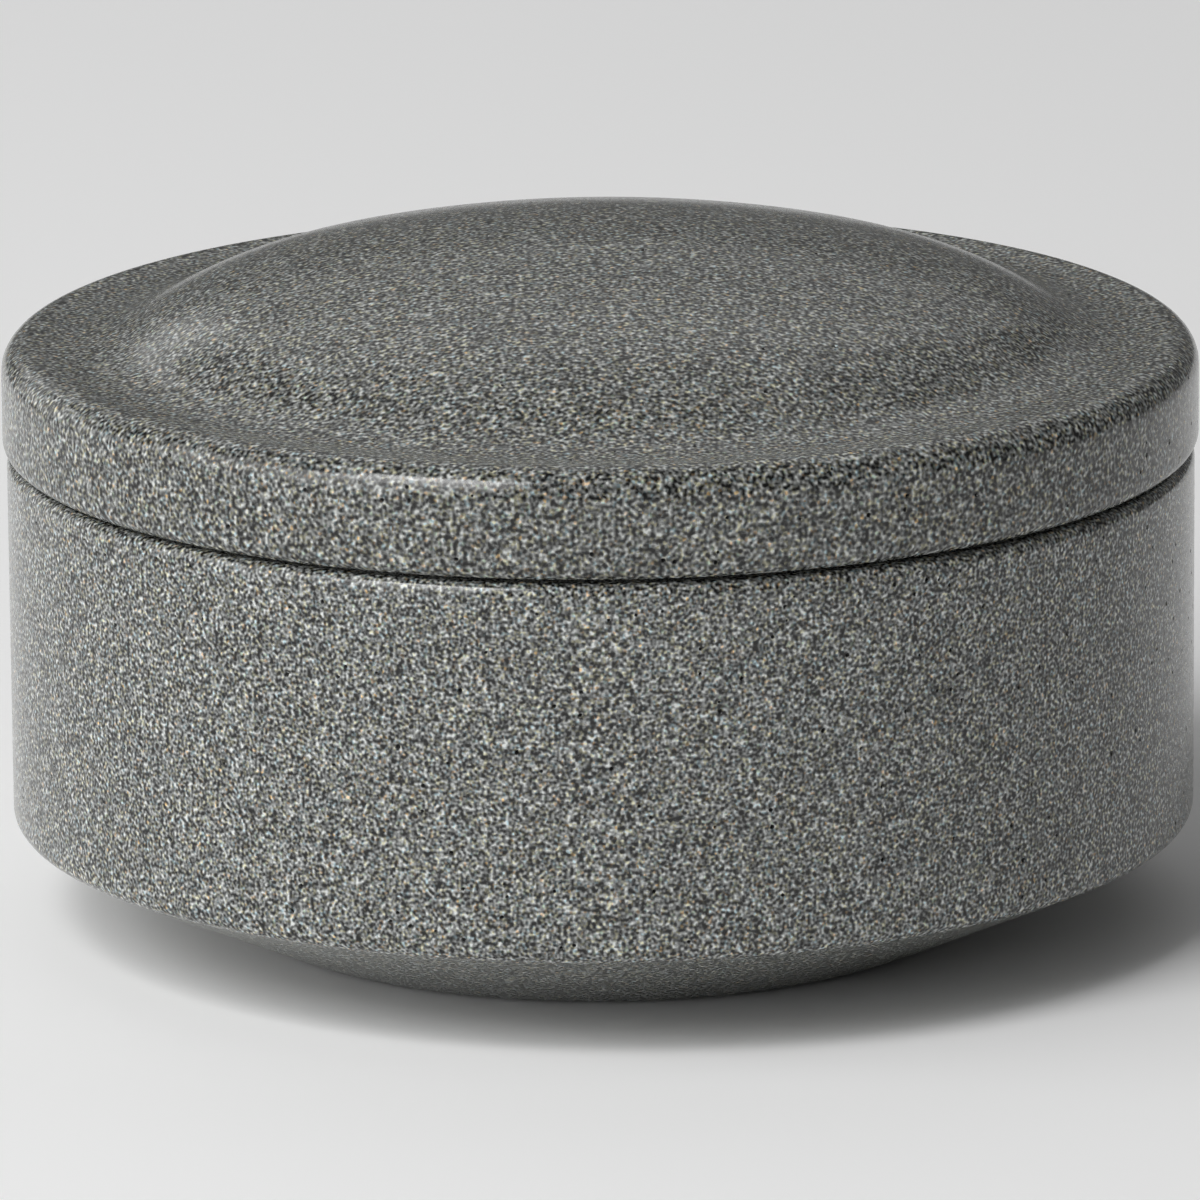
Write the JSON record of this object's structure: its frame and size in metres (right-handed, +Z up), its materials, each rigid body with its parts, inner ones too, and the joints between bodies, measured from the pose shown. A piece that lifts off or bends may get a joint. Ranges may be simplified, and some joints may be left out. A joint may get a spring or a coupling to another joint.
{
  "type": "lidded stone box",
  "caption": "Round box turned from speckled grey stone, with a straight wall, a tapered foot and a domed lid that lifts off and is kept central by a spigot in the mouth.",
  "frame": {"origin": "on the surface that the box stands on, below the axis that the pieces are turned about", "axes": "+Z up along the turning axis; X and Y alike, because every piece is round"},
  "size_m": [0.15, 0.15, 0.0875],
  "materials": {
    "stone": "smooth honed, fine speckle",
    "cork": "natural pressed cork"
  },
  "bodies": {
    "box": {"stone_bowl": "stone", "cork_base_pad": "cork"},
    "lid": {"stone_lid": "stone"}
  },
  "joints": [
    {"name": "lid_lift", "type": "slide", "parent": "box", "child": "lid", "axis": [0, 0, 1], "range_m": [0, 0.1]}
  ]
}
